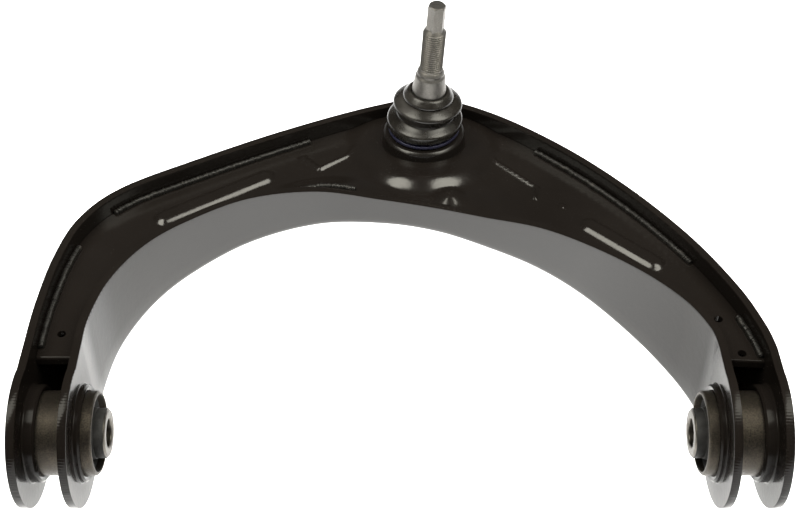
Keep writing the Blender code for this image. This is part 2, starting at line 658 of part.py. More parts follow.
def build_boot(finishes, group, joint):
    """Make the dust boot, its clamp ring and the collar that seals on the stud."""
    base = FLANGE_TOP + GAP
    bead = BEAD_BORE
    ring_inner = bead + BOOT_WALL + GAP
    ring = turned("boot_clamp_ring", (
        (ring_inner + RING_WALL, base + BEAD_HEIGHT - 0.0004),
        (ring_inner + RING_WALL, base + 0.0004), (ring_inner + RING_WALL - 0.0004, base),
        (ring_inner, base), (ring_inner, base + BEAD_HEIGHT),
        (ring_inner + RING_WALL - 0.0004, base + BEAD_HEIGHT)),
        finishes["ring"], group, 40)
    ring.location = BALL_CENTRE
    lower = BOOT_LOWER
    waist = BOOT_WAIST
    upper = BOOT_UPPER
    outer = [
        (0.0140, BOOT_COLLAR_BASE - 0.0006), (upper - 0.0035, BOOT_COLLAR_BASE - 0.0012),
        (upper - 0.0007, 0.0340), (upper, 0.0315), (upper - 0.0008, 0.0285),
        (waist + 0.0008, 0.0262), (waist, 0.0250), (waist + 0.0012, 0.0238),
        (lower - 0.0006, 0.0215), (lower, 0.0192), (lower - 0.0004, 0.0170),
        (bead + BOOT_WALL + 0.0012, base + BEAD_HEIGHT + 0.0006),
        (bead + BOOT_WALL, base + BEAD_HEIGHT + 0.0003), (bead + BOOT_WALL, base)]
    inner = [(bead, base), (bead, base + BEAD_HEIGHT + 0.0008)]
    inner += [(lower - BOOT_WALL - 0.0003, 0.0172), (lower - BOOT_WALL, 0.0192)]
    inner += [(lower - BOOT_WALL - 0.0006, 0.0210), (waist - BOOT_WALL + 0.0010, 0.0230)]
    inner += [(waist - BOOT_WALL, 0.0250), (waist - BOOT_WALL + 0.0006, 0.0272)]
    inner += [(upper - BOOT_WALL - 0.0008, 0.0292), (upper - BOOT_WALL, 0.0315)]
    inner += [(upper - BOOT_WALL - 0.0010, 0.0334), (0.0140, BOOT_COLLAR_BASE - 0.0024)]
    boot = turned("dust_boot", outer + inner, finishes["boot"], group)
    settle(boot)
    top = BOOT_COLLAR_BASE
    for vertex in boot.data.vertices:
        share = ease((vertex.co.z - base - BEAD_HEIGHT) / (top - base - BEAD_HEIGHT))
        vertex.co.z -= share * vertex.co.x * sin(LEAN)
        vertex.co.x += share * top * sin(LEAN)
    boot.location = BALL_CENTRE
    bore = SEAT_RADIUS + GAP
    collar = turned("boot_collar", (
        (bore + 0.0016, BOOT_COLLAR_TOP), (BOOT_COLLAR_RADIUS - 0.0024, BOOT_COLLAR_TOP - 0.0010),
        (BOOT_COLLAR_RADIUS, BOOT_COLLAR_BASE + 0.0008), (BOOT_COLLAR_RADIUS, BOOT_COLLAR_BASE),
        (bore, BOOT_COLLAR_BASE), (bore, BOOT_COLLAR_TOP)),
        finishes["boot"], group)
    collar.parent = joint


def build():
    """Make the whole part."""
    clear_scene()
    parts = collection("control_arm")
    cutters = collection("cutters")
    finishes = {
        "paint": finish("black_e_coat", (0.012, 0.012, 0.013), 0.22, 0.0),
        "housing": finish("black_housing", (0.014, 0.014, 0.015), 0.24, 0.0),
        "can": finish("raw_steel_can", (0.16, 0.145, 0.125), 0.45, 0.9),
        "sleeve": finish("inner_sleeve_steel", (0.42, 0.41, 0.40), 0.35, 1.0),
        "rubber": finish("bushing_rubber", (0.02, 0.019, 0.018), 0.7, 0.0),
        "stud": finish("phosphated_steel", (0.27, 0.26, 0.25), 0.42, 1.0),
        "race": finish("bearing_plastic", (0.75, 0.74, 0.70), 0.5, 0.0),
        "plated": finish("plated_steel", (0.55, 0.54, 0.50), 0.35, 1.0),
        "boot": finish("boot_rubber", (0.015, 0.015, 0.016), 0.3, 0.0),
        "ring": finish("blue_ring", (0.05, 0.06, 0.16), 0.35, 0.4),
    }
    channel = build_channel(finishes["paint"], parts, cutters)
    top = build_top_plate(finishes["paint"], parts, cutters)
    for title, first, last, wall in WELDS:
        build_weld(title, first, last, wall, finishes["paint"], parts)
    for name, side in bushing_places():
        build_bushing(name, side, finishes, parts)
    build_housing(finishes, parts)
    build_clip(finishes, parts, cutters)
    joint = bpy.data.objects.new("ball_joint_centre", None)
    joint.location = BALL_CENTRE
    joint.rotation_euler = (0.0, LEAN, 0.0)
    parts.objects.link(joint)
    build_ball_stud(finishes, parts, cutters, joint)
    build_boot(finishes, parts, joint)
    for item in parts.objects:
        if item.type == "MESH" and item not in (channel, top):
            shade(item)


build()
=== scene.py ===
"""Finished looks of the upper control arm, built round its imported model.

Every piece is made in the model's own frame: metres, +Z up, X along the
bushing axis and +Y from the bushings to the ball joint.
"""

import json
from math import acos, atan2, cos, hypot, pi, radians, sin, sqrt

import bmesh
import bpy
import numpy as np
from mathutils import Matrix, Vector


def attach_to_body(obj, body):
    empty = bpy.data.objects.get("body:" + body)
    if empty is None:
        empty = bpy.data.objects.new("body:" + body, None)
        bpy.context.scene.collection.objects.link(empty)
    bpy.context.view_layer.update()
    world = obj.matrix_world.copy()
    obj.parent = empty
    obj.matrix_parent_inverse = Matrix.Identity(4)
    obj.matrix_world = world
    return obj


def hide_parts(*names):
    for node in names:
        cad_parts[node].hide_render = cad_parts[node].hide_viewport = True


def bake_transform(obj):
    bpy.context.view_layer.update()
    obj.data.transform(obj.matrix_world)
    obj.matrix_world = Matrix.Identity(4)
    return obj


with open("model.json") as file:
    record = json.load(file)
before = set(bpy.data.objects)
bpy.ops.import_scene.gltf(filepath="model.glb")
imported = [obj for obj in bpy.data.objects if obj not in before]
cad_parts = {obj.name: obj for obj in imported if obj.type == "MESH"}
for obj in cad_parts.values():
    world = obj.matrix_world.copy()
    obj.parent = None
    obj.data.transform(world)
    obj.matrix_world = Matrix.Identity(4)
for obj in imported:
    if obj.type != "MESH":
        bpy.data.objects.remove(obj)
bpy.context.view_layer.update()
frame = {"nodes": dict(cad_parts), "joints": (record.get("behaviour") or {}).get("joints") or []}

# ---- places read from the model ---------------------------------------------
JOINTS = {joint["name"]: joint for joint in frame["joints"]}
BALL_CENTRE = Vector(JOINTS["stud_heading"]["pos_m"])
STUD_AXIS = Vector(JOINTS["stud_spin"]["axis"]).normalized()
LEAN = atan2(STUD_AXIS.x, STUD_AXIS.z)
BUSHINGS = {
    "left": Vector(JOINTS["left_bushing_twist"]["pos_m"]),
    "right": Vector(JOINTS["right_bushing_twist"]["pos_m"]),
}
ORIGIN = Vector((0.0, BUSHINGS["left"].y, BUSHINGS["left"].z))
GAP = 0.0003                 # left between pressed, bonded and welded pieces

# ---- sizes shared with the model --------------------------------------------
PLATE = 0.0045               # channel stock
CORNER = 0.007
EAR_RADIUS = 0.040
EAR_SPAN = 0.4035
LEG_WIDTH = 0.031
REACH = 0.247
APEX_WIDTH = 0.091
RIM_Z = 0.038
ARCH_HALF = EAR_SPAN / 2 - LEG_WIDTH
ARCH_DEPTH = REACH - APEX_WIDTH
# Arch wall's place, rim wall's place, floor, arch wall's top, rim wall's top.
SECTIONS = np.array((
    (-1.000, 0.192, -1.000, 0.121, -0.0325, RIM_Z, RIM_Z),
    (-0.996, 0.320, -0.998, 0.243, -0.0275, RIM_Z, RIM_Z),
    (-0.955, 0.506, -0.981, 0.393, -0.0212, RIM_Z, RIM_Z),
    (-0.861, 0.686, -0.937, 0.526, -0.0150, RIM_Z, RIM_Z),
    (-0.726, 0.820, -0.833, 0.636, -0.0080, RIM_Z, RIM_Z),
    (-0.527, 0.945, -0.620, 0.745, -0.0010, RIM_Z, RIM_Z),
    (-0.293, 1.000, -0.357, 0.862, 0.0055, 0.0360, RIM_Z),
    (-0.070, 0.984, -0.079, 0.968, 0.0085, 0.0318, 0.0370),
    (0.117, 0.939, 0.099, 1.000, 0.0090, 0.0315, 0.0370),
    (0.293, 0.875, 0.287, 0.939, 0.0055, 0.0328, 0.0370),
    (0.480, 0.788, 0.496, 0.802, 0.0003, 0.0368, RIM_Z),
    (0.644, 0.680, 0.679, 0.642, -0.0078, RIM_Z, RIM_Z),
    (0.808, 0.542, 0.833, 0.466, -0.0206, RIM_Z, RIM_Z),
    (0.926, 0.400, 0.937, 0.300, -0.0300, RIM_Z, RIM_Z),
    (0.987, 0.269, 0.985, 0.182, -0.0335, RIM_Z, RIM_Z),
    (1.000, 0.180, 1.000, 0.113, -0.0345, RIM_Z, RIM_Z),
))
LAST = len(SECTIONS) - 1
CHANNEL_STEPS = 18           # lofted sections between two rows
EDGE_ROUND = 0.0008          # rounding of the sheared edges

TOP_STOCK = 0.0035
TOP_Z = RIM_Z - 0.011
PLATE_STEPS = 30
PLATE_ACROSS = 80
END_ROLL = 0.09              # rows over which the plate's ends roll down
END_DROP = 0.0016            # how far they roll down
# Pressed shapes of the top plate, in the bushing-axis plan, in metres.
RIBS = (((4.05, 0.42), (5.55, 0.56)), ((10.75, 0.40), (11.85, 0.44)))
RIB_HEIGHT = 0.0024
RIB_WIDTH = 0.0075
CREASES = (
    ((-0.061, 0.198), (-0.050, 0.187), (-0.032, 0.201), (-0.024, 0.220)),
    ((0.0545, 0.217), (0.059, 0.195), (0.084, 0.169), (0.082, 0.160)),
)
CREASE_HEIGHT = 0.0018
CREASE_WIDTH = 0.0026
DIMPLES = ((0.098, 0.153, 0.0035), (-0.081, 0.1825, 0.0030), (0.110, 0.1385, 0.0030))
SWELLS = ((0.0305, 0.1575, 0.0130, 0.0046),)    # x, y, radius, height
DOME_RADIUS = 0.0375         # crest of the pressed dome round the housing
DOME_EDGE = 0.0505
DOME_HEIGHT = 0.0080
LOCATING_HOLE = 0.0024
HOLES = ((0.75, 0.50), (13.35, 0.46), (14.55, 0.50))

WELD_RADIUS = 0.0026
WELDS = (
    ("weld_rim_left_leg", 0.35, 2.60, "rim"),
    ("weld_rim_left", 3.75, 6.20, "rim"),
    ("weld_arch_left", 5.45, 6.55, "arch"),
    ("weld_arch_right", 9.45, 13.20, "arch"),
    ("weld_rim_right", 9.75, 12.20, "rim"),
    ("weld_rim_right_leg", 13.40, 14.70, "rim"),
)

CAN_RADIUS = 0.0228
CAN_WALL = 0.0020
CAN_LENGTH = LEG_WIDTH + 0.0090
SLEEVE_RADIUS = 0.0130
SLEEVE_BORE = 0.00775
SLEEVE_LENGTH = CAN_LENGTH + 2 * 0.0052
COLLAR_RADIUS = CAN_RADIUS + GAP + 0.0032
COLLAR_ARCH = 0.0035
COLLAR_GAP_SIDE = 0.0065

BALL_RADIUS = 0.0135
NECK_RADIUS = 0.0075
HOUSING_BORE = BALL_RADIUS + 0.0037 + 2 * GAP
HOUSING_RADIUS = HOUSING_BORE + 0.0042
FLANGE_RADIUS = 0.0264
FLANGE_TOP = 0.0110          # above the ball centre
MOUTH_TOP = 0.0145
HOUSING_BOTTOM = -0.0300
CLIP_Z = -0.0254
CLIP_THICK = 0.0014
BEAD_BORE = HOUSING_RADIUS - 0.0030
BOOT_WALL = 0.0016
BEAD_HEIGHT = 0.0033
RING_LOW = 0.0010            # the ring's lower and upper edges above the flange
RING_HIGH = 0.0029
RING_WALL = 0.0014
BOOT_COLLAR_BASE = 0.0372
BOOT_COLLAR_TOP = 0.0420
BOOT_COLLAR_RADIUS = 0.0157

SEAT_BASE = 0.0425           # heights along the stud from the ball centre
SEAT_TOP = 0.0530
COLLAR_TOP = 0.0580
THREAD_TOP = 0.0850
TIP_TOP = 0.1032
SEAT_RADIUS = 0.0105
SEAT_TOP_RADIUS = 0.0091
STUD_COLLAR_RADIUS = 0.0083
THREAD_RADIUS = 0.0070
THREAD_PITCH = 0.0015
THREAD_DEPTH = 0.0008
HEX_ACROSS_FLATS = 0.0097
HEX_TURN = radians(-17)


# ---- helpers ------------------------------------------------------------------
def put(mesh, name, finish):
    """Link a mesh as a piece with one finish."""
    made = bpy.data.objects.new(name, mesh)
    bpy.context.scene.collection.objects.link(made)
    made.data.materials.clear()
    made.data.materials.append(finish)
    return made


def mesh_of(name, points, faces):
    """Return a mesh from points and faces."""
    mesh = bpy.data.meshes.new(name)
    mesh.from_pydata([tuple(point) for point in points], [], faces)
    mesh.update()
    return mesh


def tidy_mesh(mesh, merge=0.000005):
    """Merge doubles and turn the faces outwards."""
    work = bmesh.new()
    work.from_mesh(mesh)
    bmesh.ops.remove_doubles(work, verts=work.verts, dist=merge)
    bmesh.ops.recalc_face_normals(work, faces=work.faces)
    work.to_mesh(mesh)
    work.free()


def realise(piece):
    """Replace a piece's modifiers with the mesh they make."""
    bpy.context.view_layer.update()
    graph = bpy.context.evaluated_depsgraph_get()
    made = bpy.data.meshes.new_from_object(piece.evaluated_get(graph))
    piece.modifiers.clear()
    piece.data = made


def smooth(piece, angle=32):
    """Shade smooth, with edges sharper than the angle kept sharp."""
    piece.data.shade_smooth()
    piece.data.set_sharp_from_angle(angle=radians(angle))


def ease(value):
    """Ease a number or an array from 0 to 1."""
    share = np.clip(value, 0.0, 1.0)
    return share * share * (3.0 - 2.0 * share)


def grid_faces(rows, columns, wrap=False):
    """Return the quads of a grid of points laid out row by row."""
    faces = []
    last = columns if wrap else columns - 1
    for row in range(rows - 1):
        for column in range(last):
            after = (column + 1) % columns
            faces.append((row * columns + column, row * columns + after,
                          (row + 1) * columns + after, (row + 1) * columns + column))
    return faces


def rounded(profile, radius=0.0004, steps=3):
    """Round the corners of a closed (radius, height) profile."""
    points = [Vector(point) for point in profile]
    soft = []
    for index, corner in enumerate(points):
        before = points[index - 1] - corner
        after = points[(index + 1) % len(points)] - corner
        reach = min(radius, before.length * 0.45, after.length * 0.45)
        start = corner + before.normalized() * reach
        end = corner + after.normalized() * reach
        for step in range(steps + 1):
            share = step / steps
            soft.append(start.lerp(corner, share).lerp(corner.lerp(end, share), share))
    return soft


def turned(name, profile, finish, segments=128):
    """Spin a closed (radius, height) ring profile about Z."""
    turns = [2 * pi * step / segments for step in range(segments)]
    points = []
    for turn in turns:
        for radius, height in profile:
            points.append((radius * cos(turn), radius * sin(turn), height))
    count = len(profile)
    faces = []
    for step in range(segments):
        here = step * count
        there = (step + 1) % segments * count
        for index in range(count):
            after = (index + 1) % count
            faces.append((here + index, there + index, there + after, here + after))
    mesh = mesh_of(name, points, faces)
    tidy_mesh(mesh)
    return put(mesh, name, finish)


def stand(piece, matrix):
    """Turn and move a piece's mesh, leaving its object at the origin."""
    piece.data.transform(matrix)
    piece.data.update()


ALONG_X = Matrix.Rotation(pi / 2, 4, "Y")
ON_STUD = Matrix.Translation(BALL_CENTRE) @ Matrix.Rotation(LEAN, 4, "Y")


# ---- the channel's sections ----------------------------------------------------
def sections(rows):
    """Return smooth in-betweens of SECTIONS at an array of fractional rows."""
    index = np.minimum(rows.astype(int), LAST - 1)
    share = (rows - index)[:, None]
    before, start, end, after = [SECTIONS[np.clip(index + step, 0, LAST)]
                                 for step in (-1, 0, 1, 2)]
    slope = 2 * before - 5 * start + 4 * end - after
    bend = 3 * (start - end) + after - before
    return start + 0.5 * share * (end - before + share * (slope + share * bend))


def wall_line(rows, wall):
    """Return the outside places in plan of the arch or the rim wall."""
    values = sections(rows)
    if wall == "arch":
        return values[:, 0:2] * (ARCH_HALF, ARCH_DEPTH)
    return values[:, 2:4] * (EAR_SPAN / 2, REACH)


def inside(rows, wall, depth):
    """Return places at a depth inside a wall's outer face."""
    along = wall_line(np.minimum(rows + 0.05, LAST), wall)
    along = along - wall_line(np.maximum(rows - 0.05, 0.0), wall)
    along = along / np.linalg.norm(along, axis=1)[:, None]
    turn = 1.0 if wall == "arch" else -1.0
    normal = np.stack((-along[:, 1], along[:, 0]), axis=1) * turn
    return wall_line(rows, wall) + normal * depth


def ear_sections(end):
    """Return (y, low, high) from an ear's nose to the first or last section."""
    row = np.array((0.0 if end < 0 else float(LAST),))
    y = wall_line(row, "arch")[0, 1]
    floor = sections(row)[0, 4]
    tangent = acos(EAR_RADIUS / hypot(y, floor)) + atan2(-floor, y) - pi / 2
    along = [-EAR_RADIUS * cos(radians(turn)) for turn in np.linspace(2, 84, 70)]
    along += [EAR_RADIUS * sin(-tangent * share) for share in np.linspace(0.0, 1.0, 10)]
    found = []
    for place in along:
        half = sqrt(EAR_RADIUS ** 2 - place ** 2)
        high = max(half, RIM_Z) if place > 0.0 else half
        found.append((place, -half, high))
    return found


def wall_column(foot, low, high, across, corner):
    """Return one wall's points at a section, from its top to the floor."""
    bend = min(CORNER, (high - low) * 0.3)
    straight = high - low - bend
    support = min(0.0016, straight * 0.2)
    column = [(foot[0], foot[1], high)]
    for share in np.linspace(0.0, 1.0, 6)[:-1]:
        column.append((foot[0], foot[1], high - support - share * (straight - support)))
    for turn in np.linspace(0, pi / 2, 7):
        shift = across * (corner * (1.0 - cos(turn)))
        column.append((foot[0] + shift[0], foot[1] + shift[1], low + bend * (1.0 - sin(turn))))
    return column


def ear_stations(side):
    """Return both walls' columns along one pair of ears, which have no floor."""
    flat = np.zeros(2)
    return [(wall_column((side * ARCH_HALF, y), low, high, flat, 0.0),
             wall_column((side * EAR_SPAN / 2, y), low, high, flat, 0.0), False)
            for y, low, high in ear_sections(side)]


def channel_shell(finish):
    """Make the U channel with its ears, at the full stock thickness."""
    stations = ear_stations(-1)
    rows = np.linspace(0.0, LAST, LAST * CHANNEL_STEPS + 1)
    values = sections(rows)
    arches = wall_line(rows, "arch")
    rims = wall_line(rows, "rim")
    for value, arch, rim in zip(values, arches, rims):
        across = (rim - arch) / np.linalg.norm(rim - arch)
        stations.append((wall_column(arch, value[4], value[5], across, CORNER),
                         wall_column(rim, value[4], value[6], -across, CORNER), True))
    stations += reversed(ear_stations(1))
    count = len(stations[0][0])
    points = []
    for arch, rim, _ in stations:
        points += arch + rim
    points = np.array(points) + np.array(ORIGIN)
    faces = []
    for index in range(len(stations) - 1):
        here = index * 2 * count
        there = here + 2 * count
        for step in range(count - 1):
            faces.append((here + step, here + step + 1, there + step + 1, there + step))
            left, right = here + count + step, there + count + step
            faces.append((left + 1, left, right, right + 1))
        if stations[index][2] and stations[index + 1][2]:
            faces.append((here + count - 1, here + 2 * count - 1,
                          there + 2 * count - 1, there + count - 1))
    mesh = mesh_of("channel_shell", points, faces)
    tidy_mesh(mesh, 0.000001)
    shell = put(mesh, "channel_shell", finish)
    shell.data.shade_smooth()
    stock = shell.modifiers.new("Stock", "SOLIDIFY")
    stock.thickness = PLATE
    stock.offset = -1.0
    stock.use_even_offset = True
    edges = shell.modifiers.new("Sheared edges", "BEVEL")
    edges.width = EDGE_ROUND
    edges.segments = 3
    edges.limit_method = "ANGLE"
    edges.angle_limit = radians(55)
    edges.harden_normals = True
    cutters = []
    for centre in BUSHINGS.values():
        side = 1.0 if centre.x > 0 else -1.0
        bore = cylinder(CAN_RADIUS + GAP, EAR_SPAN / 4)
        bore.data.transform(Matrix.Translation(
            Vector((side * EAR_SPAN / 2, ORIGIN.y, ORIGIN.z))) @ ALONG_X)
        cutters.append(bore)
    seat = cylinder(HOUSING_RADIUS + GAP, EAR_RADIUS)
    seat.data.transform(Matrix.Translation(
        BALL_CENTRE - Vector((0, 0, BALL_RADIUS / 2 + EAR_RADIUS / 2))))
    cutters.append(seat)
    cut(shell, cutters)
    smooth(shell, 50)
    return shell


def cylinder(radius, length, sides=96):
    """Return a closed cylinder along Z for cutting."""
    mesh = bpy.data.meshes.new("cutter")
    work = bmesh.new()
    bmesh.ops.create_cone(work, cap_ends=True, segments=sides, radius1=radius,
                          radius2=radius, depth=length)
    work.to_mesh(mesh)
    work.free()
    made = bpy.data.objects.new("cutter", mesh)
    bpy.context.scene.collection.objects.link(made)
    return made


def cut(piece, cutters):
    """Cut cutters away from a piece and drop them."""
    for cutter in cutters:
        step = piece.modifiers.new("Cut", "BOOLEAN")
        step.object = cutter
        step.operation = "DIFFERENCE"
        step.solver = "EXACT"
    realise(piece)
    for cutter in cutters:
        bpy.data.objects.remove(cutter, do_unlink=True)


# ---- the top plate ---------------------------------------------------------------
def distance_to_line(spots, start, end):
    """Return each spot's distance from a straight line between two places."""
    start = np.array(start)
    along = np.array(end) - start
    share = np.clip(((spots - start) @ along) / (along @ along), 0.0, 1.0)
    return np.linalg.norm(spots - (start + share[..., None] * along), axis=-1)


def share_line(rows, share):
    """Return places in plan on the plate, from the arch to the rim side."""
    edge = PLATE + GAP
    arch = inside(rows, "arch", edge)
    rim = inside(rows, "rim", edge)
    return arch + (rim - arch) * share


def base_height(rows, shares, spots):
    """Return the plain plate's top above the bushing axis."""
    crown = sections(rows)[:, 5][:, None] - 0.001
    reach = 1.0 - ease((np.abs(rows - LAST / 2) - 1.2) / 1.2)[:, None]
    ball = np.array((BALL_CENTRE.x - ORIGIN.x, BALL_CENTRE.y - ORIGIN.y))
    flat = ease((np.linalg.norm(spots - ball, axis=-1) - 0.031) / 0.016)
    return TOP_Z + (crown - TOP_Z) * (1.0 - ease(shares / 0.42)) * reach * flat


def pressed_height(spots):
    """Return how far ribs, creases, ring and dimples lift the plate."""
    lift = np.zeros(spots.shape[:-1])
    for ends in RIBS:
        start, end = [share_line(np.array((row,)), share)[0] for row, share in ends]
        distance = distance_to_line(spots, start, end)
        lift = np.maximum(lift, RIB_HEIGHT * ease(1.4 * (1.0 - distance / RIB_WIDTH)))
    for line in CREASES:
        for start, end in zip(line, line[1:]):
            distance = distance_to_line(spots, start, end)
            lift = np.maximum(lift, CREASE_HEIGHT * ease(1.0 - distance / CREASE_WIDTH))
    ball = np.array((BALL_CENTRE.x - ORIGIN.x, BALL_CENTRE.y - ORIGIN.y))
    away = np.linalg.norm(spots - ball, axis=-1)
    front = np.clip((ball[1] - spots[..., 1]) / np.maximum(away, 0.001), 0.0, 1.0)
    out = (away - DOME_RADIUS) / (DOME_EDGE - DOME_RADIUS)
    lift = np.maximum(lift, DOME_HEIGHT * (0.35 + 0.65 * front) * (1.0 - ease(out)))
    for x, y, radius, height in SWELLS:
        distance = np.linalg.norm(spots - np.array((x, y)), axis=-1)
        lift = np.maximum(lift, height * (1.0 - ease(distance / radius)))
    for x, y, radius in DIMPLES:
        distance = np.linalg.norm(spots - np.array((x, y)), axis=-1)
        lift = np.maximum(lift, 0.0012 * ease(1.2 * (1.0 - distance / radius)))
    return lift


def plate_sheet(finish):
    """Make the pressed plate that closes the channel."""
    ends = END_ROLL * (1.0 - np.cos(np.linspace(0.0, pi / 2, 9)))
    rows = np.unique(np.concatenate((ends, LAST - ends,
                                     np.linspace(END_ROLL, LAST - END_ROLL,
                                                 LAST * PLATE_STEPS))))
    shares = np.linspace(0.0, 1.0, PLATE_ACROSS + 1)
    arch = inside(rows, "arch", PLATE + GAP)[:, None, :]
    rim = inside(rows, "rim", PLATE + GAP)[:, None, :]
    spots = arch + (rim - arch) * shares[None, :, None]
    heights = base_height(rows, shares[None, :], spots) + pressed_height(spots)
    past = np.clip(1.0 - np.minimum(rows, LAST - rows) / END_ROLL, 0.0, 1.0)
    heights -= (END_DROP * (1.0 - np.sqrt(1.0 - past ** 2)))[:, None]
    top = np.concatenate((spots, heights[..., None]), axis=-1).reshape(-1, 3)
    top = top + np.array(ORIGIN)
    columns = PLATE_ACROSS + 1
    count = len(top)
    under = top - np.array((0.0, 0.0, TOP_STOCK))
    faces = grid_faces(len(rows), columns)
    faces += [tuple(reversed([corner + count for corner in face])) for face in faces]
    rim_line = [index for index in range(columns)]
    rim_line += [row * columns + columns - 1 for row in range(1, len(rows))]
    rim_line += [(len(rows) - 1) * columns + index for index in range(columns - 2, -1, -1)]
    rim_line += [row * columns for row in range(len(rows) - 2, 0, -1)]
    for here, there in zip(rim_line, rim_line[1:] + rim_line[:1]):
        faces.append((there, here, here + count, there + count))
    mesh = mesh_of("top_plate_sheet", np.concatenate((top, under)), faces)
    tidy_mesh(mesh, 0.000001)
    sheet = put(mesh, "top_plate_sheet", finish)
    cutters = [cylinder(HOUSING_RADIUS + GAP, 0.030)]
    cutters[0].data.transform(Matrix.Translation(BALL_CENTRE))
    for row, share in HOLES:
        spot = share_line(np.array((row,)), share)[0]
        tool = cylinder(LOCATING_HOLE, 0.020, 40)
        tool.data.transform(Matrix.Translation(Vector((spot[0], spot[1], TOP_Z)) + ORIGIN))
        cutters.append(tool)
    cut(sheet, cutters)
    smooth(sheet, 40)
    return sheet


# ---- welds -------------------------------------------------------------------------
def ripple_tree(finish):
    """Return the node tree that lays overlapping ripples along a line."""
    tree = bpy.data.node_groups.new("weld_ripples", "GeometryNodeTree")
    face = tree.interface
    face.new_socket("Line", in_out="INPUT", socket_type="NodeSocketGeometry")
    sizes = (("Bead Radius", WELD_RADIUS * 0.72), ("Ripple Spacing", 0.0010),
             ("Unevenness", 0.16))
    for title, value in sizes:
        socket = face.new_socket(title, in_out="INPUT", socket_type="NodeSocketFloat")
        socket.default_value = value
    seed = face.new_socket("Seed", in_out="INPUT", socket_type="NodeSocketInt")
    seed.default_value = 7
    face.new_socket("Weld", in_out="OUTPUT", socket_type="NodeSocketGeometry")
    nodes, links = tree.nodes, tree.links
    given = nodes.new("NodeGroupInput")
    result = nodes.new("NodeGroupOutput")
    curve = nodes.new("GeometryNodeMeshToCurve")
    spaced = nodes.new("GeometryNodeResampleCurve")
    spaced.mode = "LENGTH"
    points = nodes.new("GeometryNodeInstanceOnPoints")
    puddle = nodes.new("GeometryNodeMeshIcoSphere")
    puddle.inputs["Subdivisions"].default_value = 3
    shape = nodes.new("GeometryNodeTransform")
    shape.inputs["Scale"].default_value = (1.0, 1.0, 0.62)
    tangent = nodes.new("GeometryNodeInputTangent")
    turn = nodes.new("FunctionNodeAlignRotationToVector")
    turn.axis = "Z"
    wobble = nodes.new("FunctionNodeRandomValue")
    wobble.data_type = "FLOAT"
    low = nodes.new("ShaderNodeMath")
    low.operation = "SUBTRACT"
    low.inputs[0].default_value = 1.0
    slide = nodes.new("FunctionNodeRandomValue")
    slide.data_type = "FLOAT_VECTOR"
    slide.inputs["Min"].default_value = (-0.00025, -0.00025, -0.00020)
    slide.inputs["Max"].default_value = (0.00025, 0.00025, 0.00020)
    shift = nodes.new("GeometryNodeSetPosition")
    real = nodes.new("GeometryNodeRealizeInstances")
    coat = nodes.new("GeometryNodeSetMaterial")
    coat.inputs["Material"].default_value = finish
    even = nodes.new("GeometryNodeSetShadeSmooth")
    links.new(given.outputs["Line"], curve.inputs["Mesh"])
    links.new(curve.outputs["Curve"], spaced.inputs["Curve"])
    links.new(given.outputs["Ripple Spacing"], spaced.inputs["Length"])
    links.new(spaced.outputs["Curve"], shift.inputs["Geometry"])
    links.new(slide.outputs["Value"], shift.inputs["Offset"])
    links.new(shift.outputs["Geometry"], points.inputs["Points"])
    links.new(given.outputs["Bead Radius"], puddle.inputs["Radius"])
    links.new(puddle.outputs["Mesh"], shape.inputs["Geometry"])
    links.new(shape.outputs["Geometry"], points.inputs["Instance"])
    links.new(tangent.outputs["Tangent"], turn.inputs["Vector"])
    links.new(turn.outputs["Rotation"], points.inputs["Rotation"])
    links.new(given.outputs["Unevenness"], low.inputs[1])
    links.new(low.outputs["Value"], wobble.inputs[2])
    wobble.inputs[3].default_value = 1.0
    links.new(given.outputs["Seed"], wobble.inputs["Seed"])
    links.new(given.outputs["Seed"], slide.inputs["Seed"])
    links.new(wobble.outputs[1], points.inputs["Scale"])
    links.new(points.outputs["Instances"], real.inputs["Geometry"])
    links.new(real.outputs["Geometry"], even.inputs["Geometry"])
    links.new(even.outputs["Geometry"], coat.inputs["Geometry"])
    links.new(coat.outputs["Geometry"], result.inputs["Weld"])
    return tree


def weld_bead(title, first, last, wall, seed, tree, finish):
    """Lay one rippled weld bead along the corner of the plate and a wall."""
    clear = GAP + WELD_RADIUS
    rows = np.linspace(first, last, 90)
    spots = inside(rows, wall, PLATE + 0.6 * clear)
    shares = np.full((1, 1), 0.0 if wall == "arch" else 1.0)
    heights = base_height(rows, shares, spots[:, None, :])[:, 0]
    if wall == "arch":
        heights = np.maximum(heights, base_height(rows, np.full((1, 1), 0.12),
                                                  spots[:, None, :])[:, 0])
    heights = np.maximum(heights, TOP_Z) + 0.35 * clear
    points = np.concatenate((spots, heights[:, None]), axis=1) + np.array(ORIGIN)
    mesh = bpy.data.meshes.new(title + "_bead")
    mesh.from_pydata([tuple(point) for point in points],
                     [(index, index + 1) for index in range(len(points) - 1)], [])
    bead = put(mesh, title + "_bead", finish)
    ripples = bead.modifiers.new("Ripples", "NODES")
    ripples.node_group = tree
    sockets = {item.name: item.identifier for item in tree.interface.items_tree}
    ripples[sockets["Seed"]] = seed
    ripples[sockets["Unevenness"]] = 0.22 if wall == "arch" else 0.14
    realise(bead)
    return bead


